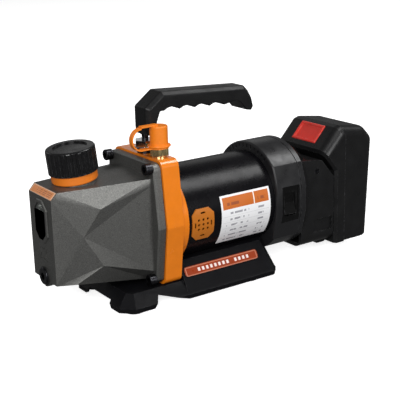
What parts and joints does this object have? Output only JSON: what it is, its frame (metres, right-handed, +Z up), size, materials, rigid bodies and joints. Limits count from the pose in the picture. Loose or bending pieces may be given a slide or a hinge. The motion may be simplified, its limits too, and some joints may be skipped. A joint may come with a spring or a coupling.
{
  "type": "cordless vacuum pump",
  "caption": "Cordless rotary-vane vacuum pump with a faceted oil tank, an orange bracket, a carrying handle and a slide-on battery.",
  "frame": {"origin": "middle of the bounding box, on the plane that the rubber feet stand on", "axes": "+X along the shaft from the oil tank to the battery, +Z up, the switch and the label face -Y"},
  "size_m": [0.3518, 0.096, 0.1838],
  "materials": {
    "tank_paint": "fine sparkle powder coat",
    "bracket_paint": "gloss",
    "tube_paint": "satin",
    "grille_paint": "satin",
    "black_case": "fine texture",
    "handle_plastic": "fine texture",
    "base_plastic": "fine texture",
    "black_plastic": "gloss",
    "orange_rubber": "satin",
    "foot_rubber": "matt",
    "seal_rubber": "matt",
    "red_button": "gloss",
    "glass": "clear",
    "black_steel": "black oxide",
    "zinc_yellow": "yellow zinc",
    "chromed": "bright",
    "bright_steel": "ground",
    "iron": "machined",
    "alloy": "cast",
    "copper": "enamelled wire",
    "laminations": "varnished",
    "vane_material": "carbon composite",
    "board": "solder mask",
    "cell_sleeve": "shrink sleeve",
    "filter_fibre": "felt",
    "label_paper": "printed",
    "plate_orange": "printed"
  },
  "bodies": {
    "housing": {"centre_bracket": "bracket_paint", "oil_tank": "tank_paint", "tank_gasket": "seal_rubber", "tank_screws": "black_steel", "sight_glass": "glass", "sight_glass_bezel": "tank_paint", "tank_sticker": "plate_orange", "exhaust_filter": "filter_fibre", "pump_cylinder": "iron", "pump_front_plate": "iron", "pump_rear_plate": "iron", "cylinder_screws": "bright_steel", "exhaust_valve": "bright_steel", "valve_guard": "bright_steel", "shaft_seal": "seal_rubber", "bearing_outer_rings": "bright_steel", "motor_tube": "tube_paint", "vent_grille": "grille_paint", "stator_core": "laminations", "stator_windings": "copper", "end_bell": "alloy", "spec_label": "label_paper", "rear_collar": "black_case", "switch_housing": "black_plastic", "battery_dock": "black_case", "housing_screws": "black_steel", "terminal_block": "black_plastic", "terminal_blades": "copper", "controller_board": "board", "handle": "handle_plastic", "handle_stud": "black_steel", "handle_nut": "chromed", "intake_fitting": "zinc_yellow", "intake_screen": "bright_steel", "dust_cap_strap": "orange_rubber", "base": "base_plastic", "rubber_feet": "foot_rubber", "base_screws": "black_steel", "nameplate": "plate_orange"},
    "drive_line": {"pump_rotor": "iron", "rotor_vanes": "vane_material", "drive_coupling": "alloy", "motor_shaft": "bright_steel", "bearing_inner_rings": "bright_steel", "rotor_core": "laminations", "rotor_magnets": "bright_steel", "cooling_fan": "black_plastic"},
    "filler_seal": {"filler_seal_ring": "orange_rubber"},
    "filler_cap": {"filler_cap": "black_case"},
    "drain_seal": {"drain_washer": "seal_rubber"},
    "drain_plug": {"drain_plug": "black_steel"},
    "dust_cap": {"dust_cap": "orange_rubber"},
    "switch": {"switch_rocker": "black_plastic"},
    "battery": {"battery_front_case": "black_case", "battery_rear_case": "black_case", "battery_screws": "black_steel", "battery_cells": "cell_sleeve", "battery_board": "board", "button_spring": "bright_steel"},
    "release_button": {"release_button": "red_button"}
  },
  "joints": [
    {"name": "rotor_spin", "type": "hinge", "parent": "housing", "child": "drive_line", "pos_m": [0, 0, 0.07], "axis": [1, 0, 0], "continuous": true},
    {"name": "filler_cap_lift", "type": "slide", "parent": "housing", "child": "filler_seal", "axis": [-0.1045, 0, 0.9945], "range_m": [0, 0.012]},
    {"name": "filler_cap_turn", "type": "hinge", "parent": "filler_seal", "child": "filler_cap", "pos_m": [-0.1395, 0, 0.1168], "axis": [-0.1045, 0, 0.9945], "range_deg": [0, 1440]},
    {"name": "drain_plug_lift", "type": "slide", "parent": "housing", "child": "drain_seal", "axis": [-1, 0, 0], "range_m": [0, 0.006]},
    {"name": "drain_plug_turn", "type": "hinge", "parent": "drain_seal", "child": "drain_plug", "pos_m": [-0.1745, 0, 0.0375], "axis": [-1, 0, 0], "range_deg": [0, 1440]},
    {"name": "dust_cap_lift", "type": "slide", "parent": "housing", "child": "dust_cap", "axis": [0, 0, 1], "range_m": [0, 0.015], "deforming": ["dust_cap_strap"]},
    {"name": "power_switch", "type": "hinge", "parent": "housing", "child": "switch", "pos_m": [0.0615, -0.0398, 0.067], "axis": [1, 0, 0], "range_deg": [0, 16]},
    {"name": "battery_slide", "type": "slide", "parent": "housing", "child": "battery", "axis": [0, 0, 1], "range_m": [0, 0.088]},
    {"name": "battery_release", "type": "slide", "parent": "battery", "child": "release_button", "axis": [0.7255, 0, -0.6882], "range_m": [0, 0.003], "stiffness_N_per_m": 600, "springref_m": -0.003}
  ],
  "couplings": [
    {"joint": "filler_cap_lift", "follows": "filler_cap_turn", "m_per_rad": 0.00047746},
    {"joint": "drain_plug_lift", "follows": "drain_plug_turn", "m_per_rad": 0.00023873}
  ]
}
